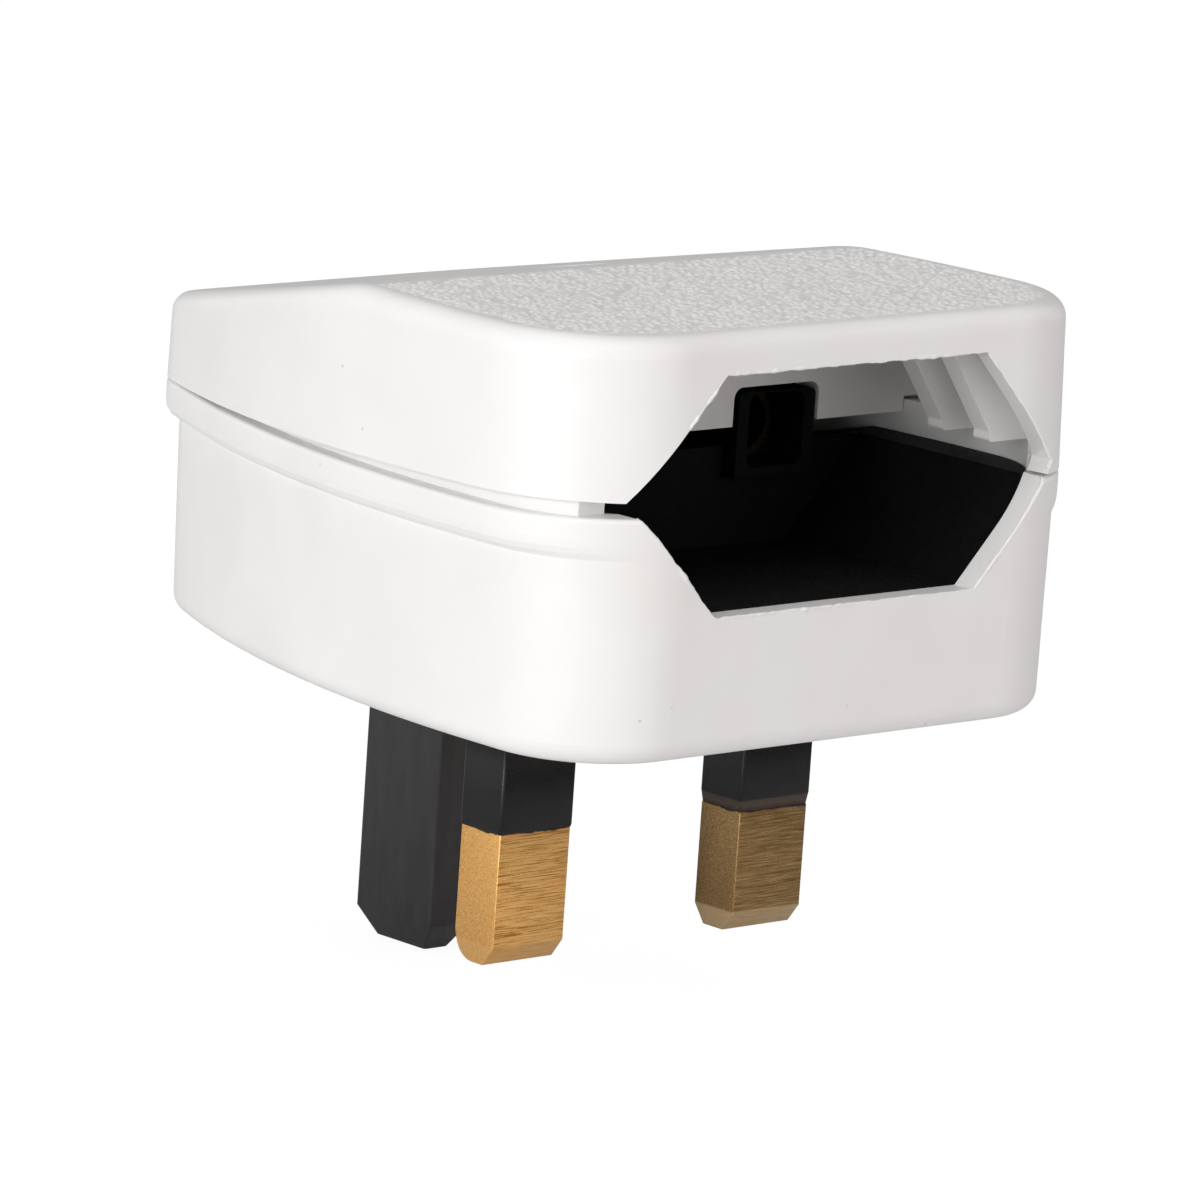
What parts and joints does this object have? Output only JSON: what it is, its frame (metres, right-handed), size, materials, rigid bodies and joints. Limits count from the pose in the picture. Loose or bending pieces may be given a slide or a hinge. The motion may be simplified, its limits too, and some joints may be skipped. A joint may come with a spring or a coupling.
{
  "type": "converter plug",
  "caption": "Converter plug with a hexagonal front opening, a hinged lid and flat pins, which takes a slim round-pin plug inside and connects it through a fuse.",
  "frame": {"origin": "on the flat face that meets the wall socket, midway between the two line pins", "axes": "+Z from the pins into the body, +Y from the line pins towards the earth pin and hinge, +X to the live side; the round-pin plug goes in towards +Y"},
  "size_m": [0.05, 0.0611, 0.0512],
  "materials": {
    "housing_white": "satin moulded white ABS, finely textured on the top of the lid",
    "drawer_white": "satin moulded white plastic",
    "carrier_black": "black glass-filled moulding",
    "pin_plastic_black": "black moulded nylon with a low sheen",
    "pin_brass": "drawn brass with fine lengthwise and cross brushing",
    "contact_brass": "stamped brass strip",
    "zinc_steel": "zinc plated steel",
    "fuse_ceramic": "unglazed pale ceramic",
    "fuse_cap_plating": "nickel plated caps"
  },
  "bodies": {
    "housing": {"base_housing": "housing_white", "contact_carrier": "carrier_black", "plug_tray": "carrier_black", "live_pin": "pin_brass", "neutral_pin": "pin_brass", "live_pin_sleeve": "pin_plastic_black", "neutral_pin_sleeve": "pin_plastic_black", "live_pin_rivet": "contact_brass", "neutral_pin_rivet": "contact_brass", "earth_pin": "pin_plastic_black", "live_socket": "contact_brass", "neutral_socket": "contact_brass", "live_fuse_clip": "contact_brass", "load_fuse_clip": "contact_brass", "live_link_strip": "contact_brass", "neutral_link_strip": "contact_brass", "carrier_screw_left": "zinc_steel", "carrier_screw_right": "zinc_steel", "screw_insert": "contact_brass", "hinge_pin": "zinc_steel"},
    "lid": {"lid": "housing_white", "lid_screw": "zinc_steel", "screw_retaining_washer": "zinc_steel"},
    "fuse_drawer": {"fuse_drawer": "drawer_white", "fuse_tube": "fuse_ceramic", "fuse_cap_live": "fuse_cap_plating", "fuse_cap_load": "fuse_cap_plating"}
  },
  "joints": [
    {"name": "lid_hinge", "type": "hinge", "parent": "housing", "child": "lid", "pos_m": [0, 0.0402, 0.0166], "axis": [-1, 0, 0], "range_deg": [0, 100]},
    {"name": "fuse_drawer_slide", "type": "slide", "parent": "housing", "child": "fuse_drawer", "axis": [0, 0, -1], "range_m": [0, 0.009]}
  ]
}
